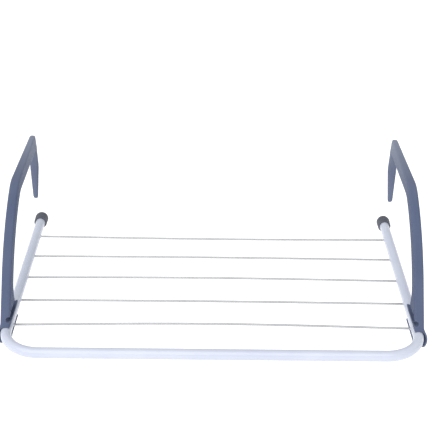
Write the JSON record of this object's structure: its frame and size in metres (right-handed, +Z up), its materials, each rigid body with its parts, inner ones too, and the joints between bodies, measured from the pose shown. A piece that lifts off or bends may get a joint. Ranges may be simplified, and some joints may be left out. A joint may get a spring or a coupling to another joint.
{
  "type": "hanging drying rack",
  "caption": "Hanging clothes drying rack: a bent tube frame with straight wires across it, and two hook arms that hang it on a rail or ledge and turn inward to fold.",
  "frame": {"origin": "midway between the two hook seats, on the line where the rack hangs", "axes": "+X along the wires to the right, +Y towards the wall, +Z up; the tube frame lies level, 125 mm below the origin"},
  "size_m": [0.527, 0.3518, 0.1532],
  "materials": {
    "tube_coat": "glossy white powder coat with a cool tint on steel tube",
    "wire_coat": "thin light grey coat on drawn steel wire",
    "cap_plastic": "dark grey moulded plastic, fine grain",
    "arm_plastic": "slate grey moulded plastic, satin"
  },
  "bodies": {
    "frame": {"frame_tube": "tube_coat", "wire_1": "wire_coat", "wire_2": "wire_coat", "wire_3": "wire_coat", "wire_4": "wire_coat", "wire_5": "wire_coat", "weld_beads_left": "tube_coat", "weld_beads_right": "tube_coat", "end_cap_left": "cap_plastic", "end_cap_right": "cap_plastic"},
    "left_arm": {"hook_arm_left": "arm_plastic"},
    "right_arm": {"hook_arm_right": "arm_plastic"}
  },
  "joints": [
    {"name": "left_arm_fold", "type": "hinge", "parent": "frame", "child": "left_arm", "pos_m": [-0.253, -0.17432, -0.125], "axis": [0, 1, 0], "range_deg": [0, 75]},
    {"name": "right_arm_fold", "type": "hinge", "parent": "frame", "child": "right_arm", "pos_m": [0.253, -0.17432, -0.125], "axis": [0, -1, 0], "range_deg": [0, 75]}
  ]
}
